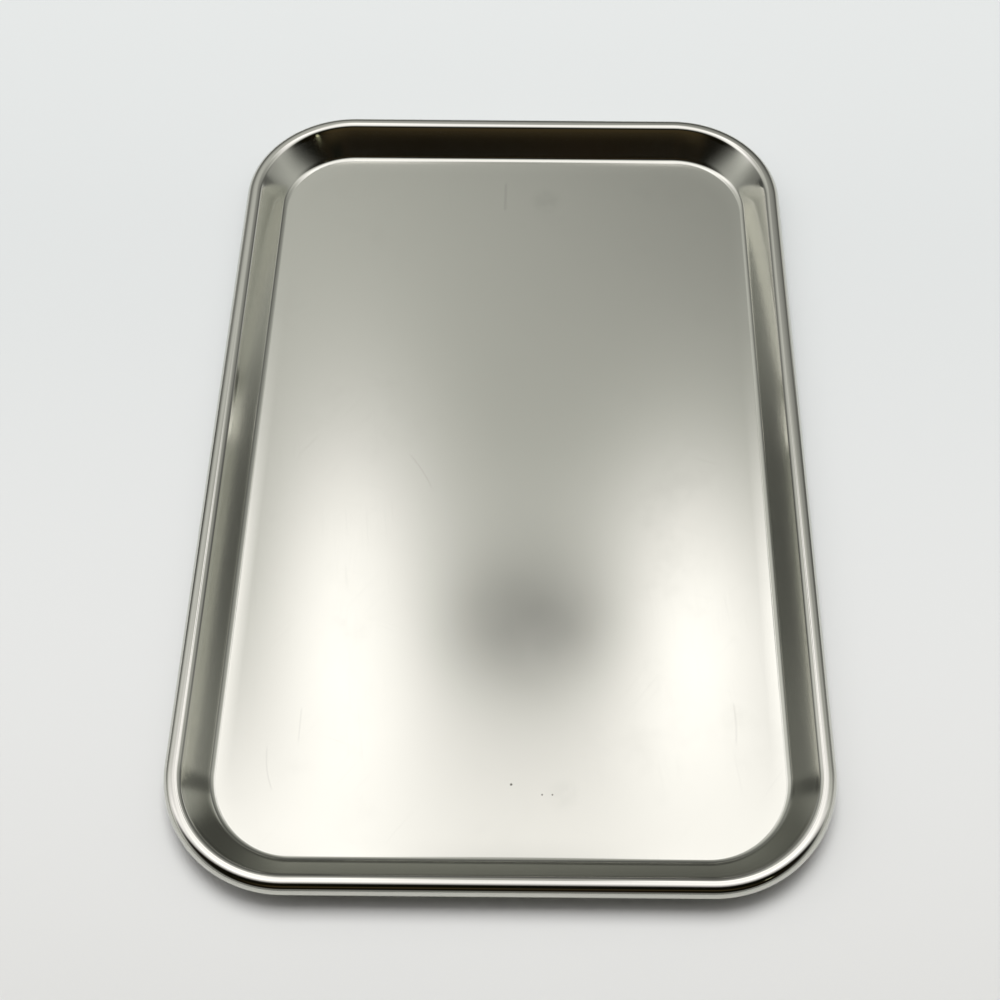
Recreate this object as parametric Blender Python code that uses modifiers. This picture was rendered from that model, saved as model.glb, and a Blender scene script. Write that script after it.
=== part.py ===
"""Shallow rectangular steel tray: a pressed pan whose rolled rim is wrapped round a stiffening rod.

Metres, +Z up. The long side lies along Y, the underside of the floor is at Z = 0 and the
origin is in its middle. Run with: blender --background --python part.py
"""

import math

import bmesh
import bpy

# Outside of the tray
LENGTH = 0.486
WIDTH = 0.321
RIM_TOP = 0.0183
CORNER_RADIUS = 0.062

# Pressed sheet
SHEET = 0.0008
FILLET_RADIUS = 0.004
WALL_SLOPE = math.radians(55.0)

# Rolled rim: a small round at the wall, a narrow flat, a wide shoulder and a tight curl round the rod
INNER_ROUND = 0.0036
RIM_FLAT = 0.0009
SHOULDER_RADIUS = 0.0052
CURL_RADIUS = 0.0036
CURL_END = math.radians(-200.0)
ROD_RADIUS = 0.0024

# Facets
CORNER_SEGMENTS = 16
ARC_STEP = math.radians(13.0)
ROD_BEVEL_STEPS = 3

STEEL = (0.63, 0.62, 0.60, 1.0)
ROD_STEEL = (0.50, 0.50, 0.49, 1.0)


def clear_scene():
    for obj in list(bpy.data.objects):
        bpy.data.objects.remove(obj, do_unlink=True)


def make_collection(name):
    collection = bpy.data.collections.new(name)
    bpy.context.scene.collection.children.link(collection)
    return collection


def make_material(name, colour, roughness):
    material = bpy.data.materials.new(name)
    material.use_nodes = True
    shader = material.node_tree.nodes["Principled BSDF"]
    shader.inputs["Base Color"].default_value = colour
    shader.inputs["Metallic"].default_value = 1.0
    shader.inputs["Roughness"].default_value = roughness
    return material


def arc(centre, radius, start, end):
    """Points on an arc in the (out, up) plane, its first end included."""
    out, up = centre
    count = max(1, round(abs(end - start) / ARC_STEP))
    angles = [start + (end - start) * i / count for i in range(count + 1)]
    return [(out + radius * math.cos(angle), up + radius * math.sin(angle)) for angle in angles]


def wall_profile():
    """Upper face of the sheet from the floor's edge to the end of the curl, as (out, up) steps."""
    right_angle = math.pi / 2.0
    wall_facing = right_angle + WALL_SLOPE
    fillet = arc((0.0, FILLET_RADIUS), FILLET_RADIUS, -right_angle, WALL_SLOPE - right_angle)[1:]
    fillet_out, fillet_up = fillet[-1]
    rise = RIM_TOP - SHEET
    wall_top = rise - INNER_ROUND * (1.0 - math.sin(wall_facing))
    wall_out = fillet_out + (wall_top - fillet_up) / math.tan(WALL_SLOPE)
    round_out = wall_out - INNER_ROUND * math.cos(wall_facing)
    shoulder_out = round_out + RIM_FLAT
    shoulder_up = rise - SHOULDER_RADIUS
    inner = arc((round_out, rise - INNER_ROUND), INNER_ROUND, wall_facing, right_angle)
    shoulder = arc((shoulder_out, shoulder_up), SHOULDER_RADIUS, right_angle, 0.0)
    curl_out = shoulder_out + SHOULDER_RADIUS - CURL_RADIUS
    curl = arc((curl_out, shoulder_up), CURL_RADIUS, 0.0, CURL_END)[1:]
    return fillet + inner + shoulder + curl


def rounded_rectangle(length, width, radius):
    """Points and outward directions of a rounded rectangle, anticlockwise from above."""
    outline = []
    for quarter, (side_x, side_y) in enumerate(((1, 1), (-1, 1), (-1, -1), (1, -1))):
        centre_x = side_x * (width / 2.0 - radius)
        centre_y = side_y * (length / 2.0 - radius)
        for i in range(CORNER_SEGMENTS + 1):
            angle = math.pi / 2.0 * (quarter + i / CORNER_SEGMENTS)
            out_x = math.cos(angle)
            out_y = math.sin(angle)
            outline.append(((centre_x + radius * out_x, centre_y + radius * out_y), (out_x, out_y)))
    return outline


def make_pan(collection, steel):
    """The floor is one flat face, and its edge is extruded through the wall and round the curl."""
    profile = wall_profile()
    rim_out = max(out for out, up in profile)
    outline = rounded_rectangle(LENGTH - 2.0 * rim_out, WIDTH - 2.0 * rim_out,
                                CORNER_RADIUS - rim_out)
    bm = bmesh.new()
    ring = [bm.verts.new((x, y, SHEET)) for (x, y), out in outline]
    bm.faces.new(ring)
    edges = [bm.edges.get((ring[i - 1], ring[i])) for i in range(len(ring))]
    for out, up in profile:
        grown = bmesh.ops.extrude_edge_only(bm, edges=edges)["geom"]
        edges = [item for item in grown if isinstance(item, bmesh.types.BMEdge)
                 and len(item.link_faces) == 1]
        fresh = [item for item in grown if isinstance(item, bmesh.types.BMVert)]
        for vert, ((x, y), (out_x, out_y)) in zip(order_like(fresh, ring), outline):
            vert.co = (x + out * out_x, y + out * out_y, SHEET + up)
        ring = order_like(fresh, ring)
    bmesh.ops.recalc_face_normals(bm, faces=bm.faces)
    floor = min(bm.faces, key=lambda face: face.calc_center_median().length)
    if floor.normal.z < 0.0:
        bmesh.ops.reverse_faces(bm, faces=bm.faces)
    mesh = bpy.data.meshes.new("tray_pan")
    bm.to_mesh(mesh)
    bm.free()
    mesh.materials.append(steel)
    pan = bpy.data.objects.new("tray_pan", mesh)
    collection.objects.link(pan)
    sheet = pan.modifiers.new("sheet", "SOLIDIFY")
    sheet.thickness = SHEET
    sheet.offset = -1.0
    sheet.use_even_offset = True
    return pan


def order_like(fresh, ring):
    """New vertices in the order of the ring that they were extruded from."""
    known = set(fresh)
    return [next(edge.other_vert(old) for edge in old.link_edges if edge.other_vert(old) in known)
            for old in ring]


def make_rod(collection, steel):
    """A closed round rod on the centre line of the tight curl."""
    inset = CURL_RADIUS
    outline = rounded_rectangle(LENGTH - 2.0 * inset, WIDTH - 2.0 * inset, CORNER_RADIUS - inset)
    curve = bpy.data.curves.new("rim_rod", "CURVE")
    curve.dimensions = "3D"
    curve.bevel_depth = ROD_RADIUS
    curve.bevel_resolution = ROD_BEVEL_STEPS
    spline = curve.splines.new("POLY")
    spline.points.add(len(outline) - 1)
    for point, ((x, y), out) in zip(spline.points, outline):
        point.co = (x, y, RIM_TOP - SHOULDER_RADIUS, 1.0)
    spline.use_cyclic_u = True
    curve.materials.append(steel)
    rod = bpy.data.objects.new("rim_rod", curve)
    collection.objects.link(rod)
    return rod


def main():
    clear_scene()
    tray = make_collection("developing_tray")
    make_pan(tray, make_material("pan_steel", STEEL, 0.28))
    make_rod(tray, make_material("rod_steel", ROD_STEEL, 0.45))


main()
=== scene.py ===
"""Shallow stainless steel tray on a white table: satin floor, sloped walls and a polished rolled rim."""

import math

import bmesh
import bpy
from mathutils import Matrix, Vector


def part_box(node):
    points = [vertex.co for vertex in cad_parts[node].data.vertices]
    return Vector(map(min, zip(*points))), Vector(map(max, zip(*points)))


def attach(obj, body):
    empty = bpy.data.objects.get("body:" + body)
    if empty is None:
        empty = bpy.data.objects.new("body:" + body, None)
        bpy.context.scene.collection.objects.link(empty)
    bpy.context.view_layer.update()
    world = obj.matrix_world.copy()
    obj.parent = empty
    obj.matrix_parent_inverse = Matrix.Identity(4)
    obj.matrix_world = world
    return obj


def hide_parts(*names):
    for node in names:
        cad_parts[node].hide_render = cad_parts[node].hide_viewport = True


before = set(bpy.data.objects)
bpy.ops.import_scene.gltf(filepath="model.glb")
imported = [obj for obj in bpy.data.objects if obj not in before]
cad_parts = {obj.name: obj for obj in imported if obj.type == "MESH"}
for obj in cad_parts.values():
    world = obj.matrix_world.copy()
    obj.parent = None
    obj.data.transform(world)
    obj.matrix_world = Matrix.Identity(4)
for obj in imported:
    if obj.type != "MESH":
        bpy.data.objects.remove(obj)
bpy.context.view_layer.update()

# Sizes in metres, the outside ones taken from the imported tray
PAN_LOW, PAN_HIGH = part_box("tray_pan")
LENGTH = PAN_HIGH.y - PAN_LOW.y
WIDTH = PAN_HIGH.x - PAN_LOW.x
RIM_TOP = PAN_HIGH.z
CORNER_RADIUS = 0.062
SHEET = 0.0008
FILLET_RADIUS = 0.004
WALL_SLOPE = math.radians(55.0)
WALL_BOW = 0.00015
INNER_ROUND = 0.0036
RIM_FLAT = 0.0009
SHOULDER_RADIUS = 0.0052
CURL_RADIUS = 0.0036
CURL_END = math.radians(-200.0)

# How finely the pan's mesh follows its shape
CORNER_SEGMENTS = 28
LONG_SEGMENTS = 14
SHORT_SEGMENTS = 8
ARC_STEP = math.radians(5.0)
WALL_STEPS = 10
FLAT_STEPS = 3
FLOOR_RINGS = 22
# How far the sheet's cut edge bulges, as a share of its thickness
LIP_BULGE = 0.4

# A few marks of use on the floor, placed to the nearest 5 mm. A speck is x, y and radius, a stain has a
# strength as well, and a scratch is its start, end, width, sideways bow and strength
SPECKS = ((0.005, -0.185, 0.0009), (0.020, -0.190, 0.0006), (0.025, -0.190, 0.0006))
STAINS = ((0.020, 0.190, 0.012, 0.08), (0.030, -0.190, 0.010, 0.05), (0.115, -0.150, 0.010, 0.05))
SCRATCHES = (((-0.115, -0.165), (-0.110, -0.190), 0.0007, -0.0016, 0.55),
             ((-0.100, -0.145), (-0.100, -0.165), 0.0006, 0.0, 0.45),
             ((-0.005, 0.205), (-0.005, 0.180), 0.0014, 0.0, 0.75),
             ((-0.055, 0.005), (-0.040, -0.020), 0.0007, 0.0012, 0.50),
             ((0.115, -0.140), (0.115, -0.165), 0.0009, 0.0008, 0.50))
SPECK_COLOUR = (0.14, 0.14, 0.12, 1.0)
SCUFF_COLOUR = (0.40, 0.40, 0.36, 1.0)
STAIN_SCALE = 220.0
STAIN_RISE = (0.3, 0.6)
STAIN_LEAST = 0.4
SCRATCH_CORE = 0.2
SCRATCH_TAPER = 0.7
# Share of a round spot's radius at which it starts to fade
SPOT_CORE = 0.3

# Fine looks of all the steel: each pattern's scale and stretch, the noise values it rises between, and how
# strongly it shows
NOISE_SPAN = (0.3, 0.7)
CLOUD_SCALE = 9.0
GRAIN_SCALE = 1100.0
GRAIN_STRETCH = (1.0, 0.05, 1.0)
GRAIN_BUMP = 0.04
GRAIN_DEPTH = 0.00002
SMUDGE_SCALE = 16.0
SMUDGE_ROUGHNESS = 0.7
SMUDGE_RISE = (0.52, 0.72)
SMUDGE_SHARE = 0.35
SMUDGE_TONE = 0.93
HAIRLINE_SCALE = 1300.0
HAIRLINE_STRETCH = (1.0, 0.018, 0.2)
HAIRLINE_TURNS = (8.0, -38.0, 71.0)
HAIRLINE_RISE = (0.68, 0.76)
HAIRLINE_SHARE = 0.20
SCUFF_SHARE = 0.30
SCUFF_SMEAR = 2.0

# The room that the steel mirrors: dim near the horizon, a grey upper wall, then a bright ceiling.
# Each change is one smooth step between two values of rise, an angle in degrees that build_world works out
HORIZON_LEVEL = 0.15
WALL_LEVEL = 0.58
CEILING_LEVEL = 1.50
WALL_RISE = (20.0, 56.0)
CEILING_RISE = (54.0, 80.0)
# The left is brighter than the right, below the height where this fades out
SKY_TILT = 0.3
SKY_TILT_SIDE = 0.25
SKY_TILT_FADE = (46.0, 62.0)
# The tint goes from cool to warm as the level rises
COOL_TINT = (1.0, 1.0, 0.955, 1.0)
WARM_TINT = (1.03, 1.0, 1.012, 1.0)
TINT_RISE = (0.55, 1.2)
# Two soft lamps ahead, each a side, swing, height and level, with a gap between them,
# and the ceiling's brighter sides
LAMPS = ((-0.13, 63.5, 5.2, 1.15), (0.104, 64.0, 4.2, 1.2))
LAMP_WIDTH = 0.036
GAP_WIDTH = 0.045
GAP_SWING = 64.2
GAP_HEIGHT = 1.5
GAP_DEPTH = 0.95
FLANK_SIDE = 0.24
FLANK_WIDTH = 0.085
FLANK_SWING = 78.0
FLANK_HEIGHT = 6.0
FLANK_LEVEL = 0.52
# Low part of the room: brightness against direction round the tray in degrees, 0 ahead and positive to the
# right. It gives way to the wall and ceiling between the two heights of LOW_TOP
LOW_LEVELS = ((-180, 0.26), (-120, 0.40), (-105, 0.55), (-90, 0.50), (-75, 0.28), (-67, 0.20),
              (-61, 0.09), (-55, 0.22), (-47, 0.40), (-38, 0.34), (-25, 0.16), (0, 0.13),
              (25, 0.16), (38, 0.56), (47, 0.64), (55, 0.32), (61, 0.15), (67, 0.28),
              (75, 0.42), (90, 0.55), (105, 0.58), (120, 0.40), (180, 0.26))
LOW_TOP = (8.0, 20.0)
# Brighter patch beyond each long side, placed by its direction round the tray and its height in degrees
EAVE_TURN = 92.0
EAVE_WIDTH = 20.0
EAVE_HEIGHT = 40.0
EAVE_DEPTH = 14.0
EAVE_LEVEL = 0.5
# Darker nook between the left lamp and the ceiling's brighter left side
NOOK_SIDE = -0.208
NOOK_WIDTH = 0.020
NOOK_SWING = 64.0
NOOK_HEIGHT = 5.0
NOOK_DEPTH = 0.25
# Dark panel over and behind the camera, where the photographer stands, with a paler patch and a glint on it:
# metres, each pair of numbers being a soft edge
SHADE_HEIGHT = 0.72
SHADE_FRONT = (-0.10, -0.42)
SHADE_REAR = (-2.35, -2.10)
SHADE_SIDE = (1.10, 2.30)
SHADE_BROWN = (0.014, 0.009, 0.004, 1.0)
SHADE_OLIVE = (0.003, 0.004, 0.002, 1.0)
SHADE_PALE = (0.058, 0.042, 0.020, 1.0)
SHADE_PALE_REAR = (-1.25, -1.00)
SHADE_PALE_FRONT = (-0.92, -0.78)
SHADE_PALE_SIDE = (0.25, 0.90)
CLOTH_SCALE = 2.2
CLOTH_STRETCH = (1.0, 0.5, 1.0)
CLOTH_RISE = (0.30, 0.75)
GLINT_PLACE = (0.73, -0.85, SHADE_HEIGHT)
GLINT_SIZE = 0.070
GLINT_COLOUR = (0.80, 0.78, 0.50, 1.0)

# Painted light: the table's colour changes slowly between two places along the tray, painted darker far off
# and paler near to even out the light that falls on it
TABLE_SIZE = 8.0
TABLE_DROP = 0.0001
TABLE_FAR_PAINTED_SHADE = (0.570, 0.591, 0.588, 1.0)
TABLE_NEAR_PAINTED_LIGHT = (0.755, 0.760, 0.745, 1.0)
PAINTED_LIGHT_FADE = (0.20, -0.36)
TABLE_ROUGHNESS = 0.7
FILL_POWER = 151.0
FILL_SIZE = (2.6, 2.4)
FILL_PLACE = (0.0, 1.35, 4.5)

CAMERA_PLACE = (0.0178, -0.4250, 0.6741)
CAMERA_TURN = (30.5, -0.18, 0.46)
CAMERA_LENS = 52.2
CAMERA_SENSOR = 36.0
CAMERA_SHIFT = (-0.038, 0.006)


def new_material(name):
    material = bpy.data.materials.new(name)
    material.use_nodes = True
    material.node_tree.nodes.clear()
    return material


class Nodes:
    """Short names for adding and joining the nodes of one tree."""

    def __init__(self, tree):
        self.tree = tree

    def add(self, kind, **settings):
        node = self.tree.nodes.new(kind)
        for name, value in settings.items():
            setattr(node, name, value)
        return node

    def link(self, source, target):
        self.tree.links.new(source, target)

    def feed(self, socket, value):
        if isinstance(value, bpy.types.NodeSocket):
            self.link(value, socket)
        else:
            socket.default_value = value

    def math(self, operation, first, second=0.0, clamp=False):
        node = self.add("ShaderNodeMath", operation=operation, use_clamp=clamp)
        self.feed(node.inputs[0], first)
        self.feed(node.inputs[1], second)
        return node.outputs[0]

    def remap(self, value, low, high, out_low, out_high, smooth=True):
        node = self.add("ShaderNodeMapRange")
        node.interpolation_type = "SMOOTHSTEP" if smooth else "LINEAR"
        self.feed(node.inputs["Value"], value)
        self.feed(node.inputs["From Min"], low)
        self.feed(node.inputs["From Max"], high)
        self.feed(node.inputs["To Min"], out_low)
        self.feed(node.inputs["To Max"], out_high)
        return node.outputs["Result"]

    def noise(self, vector, scale, detail=2.0, stretch=(1.0, 1.0, 1.0), roughness=0.5, turn=0.0):
        mapping = self.add("ShaderNodeMapping", vector_type="TEXTURE")
        mapping.inputs["Rotation"].default_value = (0.0, 0.0, math.radians(turn))
        mapping.inputs["Scale"].default_value = [1.0 / amount for amount in stretch]
        self.link(vector, mapping.inputs["Vector"])
        node = self.add("ShaderNodeTexNoise")
        node.inputs["Scale"].default_value = scale
        node.inputs["Detail"].default_value = detail
        node.inputs["Roughness"].default_value = roughness
        self.link(mapping.outputs["Vector"], node.inputs["Vector"])
        return node.outputs["Fac"]

    def dot(self, vector, centre, radius):
        """Soft round spot, 1 in its middle and 0 past its radius."""
        distance = self.add("ShaderNodeVectorMath", operation="DISTANCE")
        self.link(vector, distance.inputs[0])
        distance.inputs[1].default_value = centre
        return self.remap(distance.outputs["Value"], SPOT_CORE * radius, radius, 1.0, 0.0)

    def stroke(self, vector, start, end, width, bend=0.0):
        """Soft thin line on the floor between two points, bowed sideways by bend in its middle."""
        run = Vector(end) - Vector(start)
        mapping = self.add("ShaderNodeMapping", vector_type="TEXTURE")
        mapping.inputs["Location"].default_value = (*start, 0.0)
        mapping.inputs["Rotation"].default_value = (0.0, 0.0, math.atan2(run.y, run.x))
        self.link(vector, mapping.inputs["Vector"])
        split = self.add("ShaderNodeSeparateXYZ")
        self.link(mapping.outputs["Vector"], split.inputs["Vector"])
        along = split.outputs["X"]
        across = split.outputs["Y"]
        # from -1 at the start to 1 at the end
        middle = self.math("SUBTRACT", self.math("DIVIDE", along, 0.5 * run.length), 1.0)
        bow = self.math("MULTIPLY", self.math("SUBTRACT", 1.0, self.math("MULTIPLY", middle, middle)), bend)
        aside = self.math("ABSOLUTE", self.math("SUBTRACT", across, bow))
        return self.math("MULTIPLY", self.remap(aside, SCRATCH_CORE * width, width, 1.0, 0.0),
                         self.remap(self.math("ABSOLUTE", middle), SCRATCH_TAPER, 1.0, 1.0, 0.0))

    def mix(self, factor, first, second):
        node = self.add("ShaderNodeMix", data_type="RGBA")
        self.feed(node.inputs["Factor"], factor)
        self.feed(node.inputs["A"], first)
        self.feed(node.inputs["B"], second)
        return node.outputs["Result"]


# ---------------------------------------------------------------- pan mesh

def arc(centre, radius, start, end):
    out, up = centre
    count = max(1, round(abs(end - start) / ARC_STEP))
    angles = [start + (end - start) * i / count for i in range(count + 1)]
    return [(out + radius * math.cos(angle), up + radius * math.sin(angle)) for angle in angles]


def straight(start, end, count):
    return [(start[0] + (end[0] - start[0]) * i / count, start[1] + (end[1] - start[1]) * i / count)
            for i in range(1, count)]


def bowed(start, end, count, bow):
    """The points between two ends, with the middle standing bow proud of the straight line."""
    length = math.hypot(end[0] - start[0], end[1] - start[1])
    normal = ((start[1] - end[1]) / length, (end[0] - start[0]) / length)
    line = straight(start, end, count)
    lift = [4.0 * bow * (i / count) * (1.0 - i / count) for i in range(1, count)]
    return [(out + normal[0] * rise, up + normal[1] * rise) for (out, up), rise in zip(line, lift)]


def offset_profile(depth):
    """The sheet's section, depth below its upper face, from the floor's edge to the end of the curl."""
    right_angle = math.pi / 2.0
    facing = right_angle + WALL_SLOPE
    fillet = arc((0.0, FILLET_RADIUS), FILLET_RADIUS + depth, -right_angle, WALL_SLOPE - right_angle)
    rise = RIM_TOP - SHEET
    wall_top = rise - INNER_ROUND * (1.0 - math.sin(facing))
    fillet_out = FILLET_RADIUS * math.sin(WALL_SLOPE)
    fillet_up = FILLET_RADIUS * (1.0 - math.cos(WALL_SLOPE))
    wall_out = fillet_out + (wall_top - fillet_up) / math.tan(WALL_SLOPE)
    round_out = wall_out - INNER_ROUND * math.cos(facing)
    shoulder_out = round_out + RIM_FLAT
    shoulder_up = rise - SHOULDER_RADIUS
    inner = arc((round_out, rise - INNER_ROUND), INNER_ROUND - depth, facing, right_angle)
    shoulder = arc((shoulder_out, shoulder_up), SHOULDER_RADIUS - depth, right_angle, 0.0)
    curl_out = shoulder_out + SHOULDER_RADIUS - CURL_RADIUS
    curl = arc((curl_out, shoulder_up), CURL_RADIUS - depth, 0.0, CURL_END)[1:]
    wall = bowed(fillet[-1], inner[0], WALL_STEPS, WALL_BOW)
    return fillet, wall, inner + straight(inner[-1], shoulder[0], FLAT_STEPS) + shoulder + curl


def rounded_rectangle(length, width, radius):
    """Points and outward directions of a rounded rectangle, anticlockwise, sides divided as well."""
    corners = []
    for quarter, (side_x, side_y) in enumerate(((1, 1), (-1, 1), (-1, -1), (1, -1))):
        centre = Vector((side_x * (width / 2.0 - radius), side_y * (length / 2.0 - radius)))
        angles = [math.pi / 2.0 * (quarter + i / CORNER_SEGMENTS) for i in range(CORNER_SEGMENTS + 1)]
        corners.append([(centre + radius * Vector((math.cos(a), math.sin(a))),
                         Vector((math.cos(a), math.sin(a)))) for a in angles])
    outline = []
    for quarter, corner in enumerate(corners):
        following = corners[(quarter + 1) % 4]
        outline.extend(corner)
        count = SHORT_SEGMENTS if quarter % 2 == 0 else LONG_SEGMENTS
        start, out = corner[-1]
        end = following[0][0]
        outline.extend((start.lerp(end, i / count), out) for i in range(1, count))
    return outline


def build_pan():
    """Upper face, rolled rim and underside as one closed skin of rings round the tray."""
    fillet, wall, rim = offset_profile(0.0)
    under_fillet, under_wall, under_rim = offset_profile(SHEET)
    rim_out = max(out for out, up in rim)
    outline = rounded_rectangle(LENGTH - 2.0 * rim_out, WIDTH - 2.0 * rim_out, CORNER_RADIUS - rim_out)
    stations = [(fillet[0], 0)] + [(point, 1) for point in fillet[1:]]
    stations += [(point, 1) for point in wall]
    stations += [(point, 2) for point in rim]
    middle = (Vector(rim[-1]) + Vector(under_rim[-1])) / 2.0
    along = Vector((math.sin(CURL_END), -math.cos(CURL_END)))
    lip = tuple(middle + along * SHEET * LIP_BULGE)
    stations += [(lip, 2)]
    stations += [(point, 3) for point in reversed(under_rim)]
    stations += [(point, 3) for point in reversed(under_wall)]
    stations += [(point, 3) for point in reversed(under_fillet)]

    bm = bmesh.new()

    def ring_at(out, up):
        return [bm.verts.new((p.x + out * n.x, p.y + out * n.y, SHEET + up)) for p, n in outline]

    def bridge(first, second, slot):
        for i in range(len(first)):
            face = bm.faces.new((first[i - 1], first[i], second[i], second[i - 1]))
            face.material_index = slot
            face.smooth = True

    def fill(ring, up, slot):
        outer = ring
        for step in range(1, FLOOR_RINGS):
            share = 1.0 - step / FLOOR_RINGS
            inside = [bm.verts.new((p.x * share, p.y * share, SHEET + up)) for p, n in outline]
            bridge(outer, inside, slot)
            outer = inside
        centre = bm.verts.new((0.0, 0.0, SHEET + up))
        for i in range(len(outer)):
            face = bm.faces.new((outer[i - 1], outer[i], centre))
            face.material_index = slot
            face.smooth = True

    rings = [ring_at(*point) for point, slot in stations]
    for first, second, (point, slot) in zip(rings, rings[1:], stations[1:]):
        bridge(first, second, slot)
    fill(rings[0], 0.0, 0)
    fill(rings[-1], -SHEET, 3)
    bmesh.ops.recalc_face_normals(bm, faces=bm.faces)
    mesh = bpy.data.meshes.new("pressed_pan")
    bm.to_mesh(mesh)
    bm.free()
    pan = bpy.data.objects.new("pressed_pan", mesh)
    bpy.context.scene.collection.objects.link(pan)
    return pan


# --------------------------------------------------------------- materials

def floor_marks(nodes, place):
    """Marks of use on the floor: (darkening, scuffing), each from 0 to 1."""
    dark = 0.0
    for x, y, radius in SPECKS:
        dark = nodes.math("ADD", dark, nodes.dot(place, (x, y, SHEET), radius))
    for x, y, radius, strength in STAINS:
        stain = nodes.math("MULTIPLY", nodes.dot(place, (x, y, SHEET), radius), strength)
        patchy = nodes.remap(nodes.noise(place, STAIN_SCALE, detail=3.0), *STAIN_RISE, STAIN_LEAST, 1.0)
        dark = nodes.math("MAXIMUM", dark, nodes.math("MULTIPLY", stain, patchy))
    scuff = 0.0
    for start, end, width, bend, strength in SCRATCHES:
        line = nodes.math("MULTIPLY", nodes.stroke(place, start, end, width, bend), strength)
        scuff = nodes.math("MAXIMUM", scuff, line)
    return dark, scuff


def steel(name, roughness, colour, grain, smear, marks=None):
    """Stainless steel: fine rolled grain, slow changes of sheen, light smudges and hairline scratches."""
    material = new_material(name)
    nodes = Nodes(material.node_tree)
    output = nodes.add("ShaderNodeOutputMaterial")
    shader = nodes.add("ShaderNodeBsdfPrincipled")
    nodes.link(shader.outputs["BSDF"], output.inputs["Surface"])
    shader.inputs["Metallic"].default_value = 1.0
    place = nodes.add("ShaderNodeTexCoord").outputs["Object"]
    cloud = nodes.noise(place, CLOUD_SCALE, detail=3.0)
    fine = nodes.noise(place, GRAIN_SCALE, detail=2.0, stretch=GRAIN_STRETCH)
    smudge = nodes.noise(place, SMUDGE_SCALE, detail=5.0, roughness=SMUDGE_ROUGHNESS)
    smudge = nodes.remap(smudge, *SMUDGE_RISE, 0.0, 1.0)
    hair = 0.0
    for turn in HAIRLINE_TURNS:
        lines = nodes.noise(place, HAIRLINE_SCALE, detail=1.0, stretch=HAIRLINE_STRETCH, turn=turn)
        hair = nodes.math("MAXIMUM", hair, nodes.remap(lines, *HAIRLINE_RISE, 0.0, 1.0))
    dark, scuff = marks(nodes, place) if marks else (0.0, 0.0)
    scuff = nodes.math("MAXIMUM", scuff, nodes.math("MULTIPLY", hair, HAIRLINE_SHARE))
    rough = nodes.math("ADD", roughness, nodes.remap(cloud, *NOISE_SPAN, -smear, smear))
    rough = nodes.math("ADD", rough, nodes.math("MULTIPLY", smudge, smear))
    rough = nodes.math("ADD", rough, nodes.math("MULTIPLY", scuff, SCUFF_SMEAR * smear))
    rough = nodes.math("ADD", rough, nodes.remap(fine, *NOISE_SPAN, -grain, grain), clamp=True)
    nodes.link(rough, shader.inputs["Roughness"])
    smudged = (*(SMUDGE_TONE * part for part in colour[:3]), 1.0)
    tone = nodes.mix(nodes.math("MULTIPLY", smudge, SMUDGE_SHARE), colour, smudged)
    tone = nodes.mix(nodes.math("MULTIPLY", scuff, SCUFF_SHARE), tone, SCUFF_COLOUR)
    tone = nodes.mix(nodes.math("MINIMUM", dark, 1.0), tone, SPECK_COLOUR)
    nodes.link(tone, shader.inputs["Base Color"])
    bump = nodes.add("ShaderNodeBump")
    bump.inputs["Strength"].default_value = GRAIN_BUMP
    bump.inputs["Distance"].default_value = GRAIN_DEPTH
    nodes.link(fine, bump.inputs["Height"])
    nodes.link(bump.outputs["Normal"], shader.inputs["Normal"])
    return material


# ------------------------------------------------------ table, light, camera

def build_table():
    bpy.ops.mesh.primitive_plane_add(size=TABLE_SIZE, location=(0.0, 0.0, -TABLE_DROP))
    table = bpy.context.object
    table.name = "white_table"
    material = new_material("table_white")
    nodes = Nodes(material.node_tree)
    output = nodes.add("ShaderNodeOutputMaterial")
    shader = nodes.add("ShaderNodeBsdfPrincipled")
    split = nodes.add("ShaderNodeSeparateXYZ")
    nodes.link(nodes.add("ShaderNodeTexCoord").outputs["Object"], split.inputs["Vector"])
    # painted light: the table is paler towards the near end to even out the light that falls on it
    painted_light_share = nodes.remap(split.outputs["Y"], *PAINTED_LIGHT_FADE, 0.0, 1.0)
    nodes.link(nodes.mix(painted_light_share, TABLE_FAR_PAINTED_SHADE, TABLE_NEAR_PAINTED_LIGHT), shader.inputs["Base Color"])
    shader.inputs["Roughness"].default_value = TABLE_ROUGHNESS
    nodes.link(shader.outputs["BSDF"], output.inputs["Surface"])
    table.data.materials.append(material)
    return table


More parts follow.
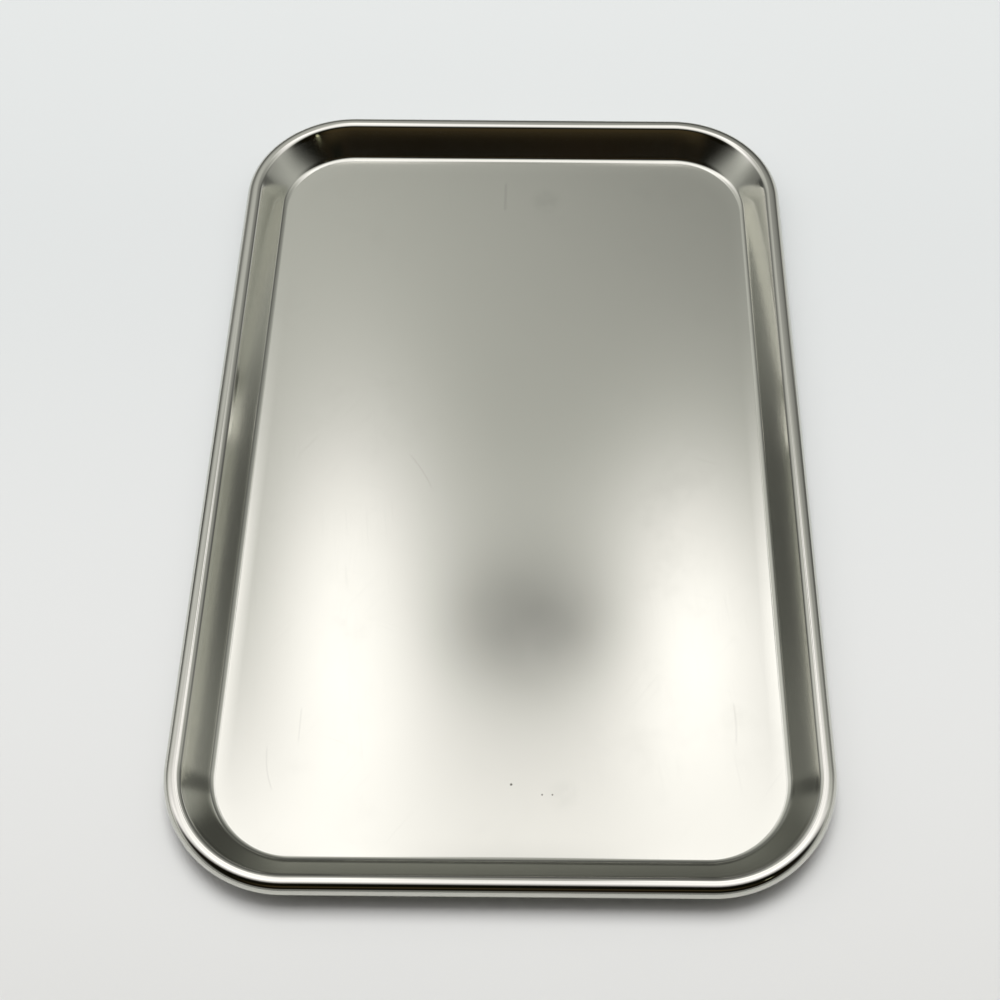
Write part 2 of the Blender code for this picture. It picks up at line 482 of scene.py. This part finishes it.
def build_world():
    """A room that is dim near the horizon, with a bright ceiling and two lamps high ahead."""
    world = bpy.data.worlds.new("studio")
    bpy.context.scene.world = world
    world.use_nodes = True
    world.node_tree.nodes.clear()
    nodes = Nodes(world.node_tree)
    output = nodes.add("ShaderNodeOutputWorld")
    background = nodes.add("ShaderNodeBackground")
    nodes.link(background.outputs["Background"], output.inputs["Surface"])
    split = nodes.add("ShaderNodeSeparateXYZ")
    nodes.link(nodes.add("ShaderNodeTexCoord").outputs["Generated"], split.inputs["Vector"])
    side, ahead, up = split.outputs
    to_degrees = 180.0 / math.pi
    height = nodes.math("MULTIPLY", nodes.math("ARCSINE", up), to_degrees)
    # angle in the vertical plane along the tray: 0 ahead, 90 overhead, 180 behind
    swing = nodes.math("MULTIPLY", nodes.math("ARCTAN2", up, ahead), to_degrees)

    def patch(first, first_at, first_width, second, second_at, second_width):
        """Soft round patch, 1 in its middle, in any two measures of direction."""
        across = nodes.math("DIVIDE", nodes.math("SUBTRACT", first, first_at), first_width)
        along = nodes.math("DIVIDE", nodes.math("SUBTRACT", second, second_at), second_width)
        square = nodes.math("ADD", nodes.math("MULTIPLY", across, across),
                            nodes.math("MULTIPLY", along, along))
        return nodes.math("EXPONENT", nodes.math("MULTIPLY", square, -0.5))

    def brightness(value, span, levels):
        """Level read from a curve through the given points, over span = (lowest, highest)."""
        low, high = span
        node = nodes.add("ShaderNodeFloatCurve")
        curve = node.mapping.curves[0]
        for at, level in levels[1:-1]:
            curve.points.new((at - low) / (high - low), level)
        curve.points[0].location = (0.0, levels[0][1])
        curve.points[-1].location = (1.0, levels[-1][1])
        node.mapping.update()
        nodes.link(nodes.remap(value, low, high, 0.0, 1.0, smooth=False), node.inputs["Value"])
        return node.outputs["Value"]

    turn = nodes.math("MULTIPLY", nodes.math("ARCTAN2", side, ahead), to_degrees)
    # like swing, but 0 at both ends
    over = nodes.math("MULTIPLY", nodes.math("ARCTAN2", up, nodes.math("ABSOLUTE", ahead)), to_degrees)
    # halfway between height and over, so that the room brightens lower down at the sides than ahead
    rise = nodes.math("MULTIPLY", nodes.math("ADD", height, over), 0.5)
    wall = nodes.remap(rise, *WALL_RISE, HORIZON_LEVEL, WALL_LEVEL)
    ceiling = nodes.remap(rise, *CEILING_RISE, 0.0, CEILING_LEVEL - WALL_LEVEL)
    high = nodes.math("ADD", wall, ceiling)
    tilt = nodes.math("MULTIPLY", nodes.remap(side, -SKY_TILT_SIDE, SKY_TILT_SIDE, -SKY_TILT, SKY_TILT),
                      nodes.remap(height, *SKY_TILT_FADE, 1.0, 0.0))
    high = nodes.math("MULTIPLY", high, nodes.math("SUBTRACT", 1.0, tilt))
    low = brightness(turn, (-180.0, 180.0), LOW_LEVELS)
    share = nodes.remap(height, *LOW_TOP, 0.0, 1.0)
    level = nodes.math("ADD", nodes.math("MULTIPLY", high, share),
                       nodes.math("MULTIPLY", low, nodes.math("SUBTRACT", 1.0, share)))
    for side_at, swing_at, tall, lamp_level in LAMPS:
        lamp = patch(side, side_at, LAMP_WIDTH, swing, swing_at, tall)
        level = nodes.math("ADD", level, nodes.math("MULTIPLY", lamp, lamp_level))
    for side_at in (-FLANK_SIDE, FLANK_SIDE):
        flank = patch(side, side_at, FLANK_WIDTH, swing, FLANK_SWING, FLANK_HEIGHT)
        level = nodes.math("ADD", level, nodes.math("MULTIPLY", flank, FLANK_LEVEL))
    eave = patch(nodes.math("ABSOLUTE", turn), EAVE_TURN, EAVE_WIDTH, height, EAVE_HEIGHT, EAVE_DEPTH)
    level = nodes.math("ADD", level, nodes.math("MULTIPLY", eave, EAVE_LEVEL))
    gap = patch(side, 0.0, GAP_WIDTH, swing, GAP_SWING, GAP_HEIGHT)
    level = nodes.math("SUBTRACT", level, nodes.math("MULTIPLY", gap, GAP_DEPTH))
    nook = patch(side, NOOK_SIDE, NOOK_WIDTH, swing, NOOK_SWING, NOOK_HEIGHT)
    level = nodes.math("SUBTRACT", level, nodes.math("MULTIPLY", nook, NOOK_DEPTH))
    tint = nodes.mix(nodes.remap(level, *TINT_RISE, 0.0, 1.0), COOL_TINT, WARM_TINT)
    lit = nodes.add("ShaderNodeVectorMath", operation="SCALE")
    nodes.link(tint, lit.inputs[0])
    nodes.link(level, lit.inputs["Scale"])
    nodes.link(lit.outputs["Vector"], background.inputs["Color"])


def build_shade():
    """Soft-edged dark panel that the steel mirrors. The camera doesn't see it, and it casts no shadow."""
    bpy.ops.mesh.primitive_plane_add(size=1.0, location=(0.0, SHADE_REAR[0] / 2.0, SHADE_HEIGHT))
    shade = bpy.context.object
    shade.name = "dark_panel"
    shade.scale = (2.0 * SHADE_SIDE[1], -SHADE_REAR[0], 1.0)
    material = new_material("dark_panel")
    nodes = Nodes(material.node_tree)
    output = nodes.add("ShaderNodeOutputMaterial")
    blend = nodes.add("ShaderNodeMixShader")
    clear = nodes.add("ShaderNodeBsdfTransparent")
    dark = nodes.add("ShaderNodeEmission")
    place = nodes.add("ShaderNodeNewGeometry").outputs["Position"]
    patches = nodes.noise(place, CLOTH_SCALE, detail=3.0, stretch=CLOTH_STRETCH)
    cloth = nodes.mix(nodes.remap(patches, *CLOTH_RISE, 0.0, 1.0), SHADE_OLIVE, SHADE_BROWN)
    split = nodes.add("ShaderNodeSeparateXYZ")
    nodes.link(place, split.inputs["Vector"])
    along = split.outputs["Y"]
    aside = nodes.math("ABSOLUTE", split.outputs["X"])
    pale = nodes.math("MULTIPLY", nodes.remap(along, *SHADE_PALE_REAR, 0.0, 1.0),
                      nodes.remap(along, *SHADE_PALE_FRONT, 1.0, 0.0))
    pale = nodes.math("MULTIPLY", pale, nodes.remap(aside, *SHADE_PALE_SIDE, 1.0, 0.0))
    cloth = nodes.mix(pale, cloth, SHADE_PALE)
    glint = nodes.dot(place, GLINT_PLACE, GLINT_SIZE)
    nodes.link(nodes.mix(glint, cloth, GLINT_COLOUR), dark.inputs["Color"])
    cover = nodes.math("MULTIPLY", nodes.remap(along, *reversed(SHADE_FRONT), 1.0, 0.0, smooth=False),
                       nodes.remap(along, *SHADE_REAR, 0.0, 1.0))
    cover = nodes.math("MULTIPLY", cover, nodes.remap(aside, *SHADE_SIDE, 1.0, 0.0))
    nodes.link(cover, blend.inputs["Fac"])
    nodes.link(clear.outputs["BSDF"], blend.inputs[1])
    nodes.link(dark.outputs["Emission"], blend.inputs[2])
    nodes.link(blend.outputs["Shader"], output.inputs["Surface"])
    shade.data.materials.append(material)
    shade.visible_camera = False
    shade.visible_shadow = False
    return shade


def add_fill():
    """A large soft light overhead that brightens the table and doesn't show in the steel."""
    light = bpy.data.lights.new("fill", "AREA")
    light.shape = "RECTANGLE"
    light.size, light.size_y = FILL_SIZE
    light.energy = FILL_POWER
    lamp = bpy.data.objects.new("fill", light)
    lamp.location = FILL_PLACE
    lamp.rotation_euler = (-lamp.location).to_track_quat("-Z", "Y").to_euler()
    lamp.visible_glossy = False
    bpy.context.scene.collection.objects.link(lamp)


def build_camera():
    data = bpy.data.cameras.new("camera")
    data.sensor_width = CAMERA_SENSOR
    data.lens = CAMERA_LENS
    data.shift_x, data.shift_y = CAMERA_SHIFT
    camera = bpy.data.objects.new("camera", data)
    camera.location = CAMERA_PLACE
    camera.rotation_euler = [math.radians(angle) for angle in CAMERA_TURN]
    bpy.context.scene.collection.objects.link(camera)
    bpy.context.scene.camera = camera


# ------------------------------------------------------------------- scene

FLOOR_STEEL = steel("floor_steel", roughness=0.13, colour=(0.605, 0.61, 0.555, 1.0), grain=0.002, smear=0.010,
                    marks=floor_marks)
WALL_STEEL = steel("wall_steel", roughness=0.12, colour=(0.60, 0.605, 0.55, 1.0), grain=0.01, smear=0.01)
RIM_STEEL = steel("rim_steel", roughness=0.04, colour=(0.61, 0.61, 0.56, 1.0), grain=0.003, smear=0.006)
UNDER_STEEL = steel("under_steel", roughness=0.30, colour=(0.60, 0.60, 0.58, 1.0), grain=0.03, smear=0.04)
ROD_STEEL = steel("rod_steel", roughness=0.42, colour=(0.50, 0.50, 0.49, 1.0), grain=0.03, smear=0.05)

pan = build_pan()
for material in (FLOOR_STEEL, WALL_STEEL, RIM_STEEL, UNDER_STEEL):
    pan.data.materials.append(material)
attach(pan, "root")
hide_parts("tray_pan")

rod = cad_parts["rim_rod"]
rod.data.materials.clear()
rod.data.materials.append(ROD_STEEL)

build_table()
build_shade()
build_world()
add_fill()
build_camera()
bpy.context.scene.view_settings.view_transform = "Standard"
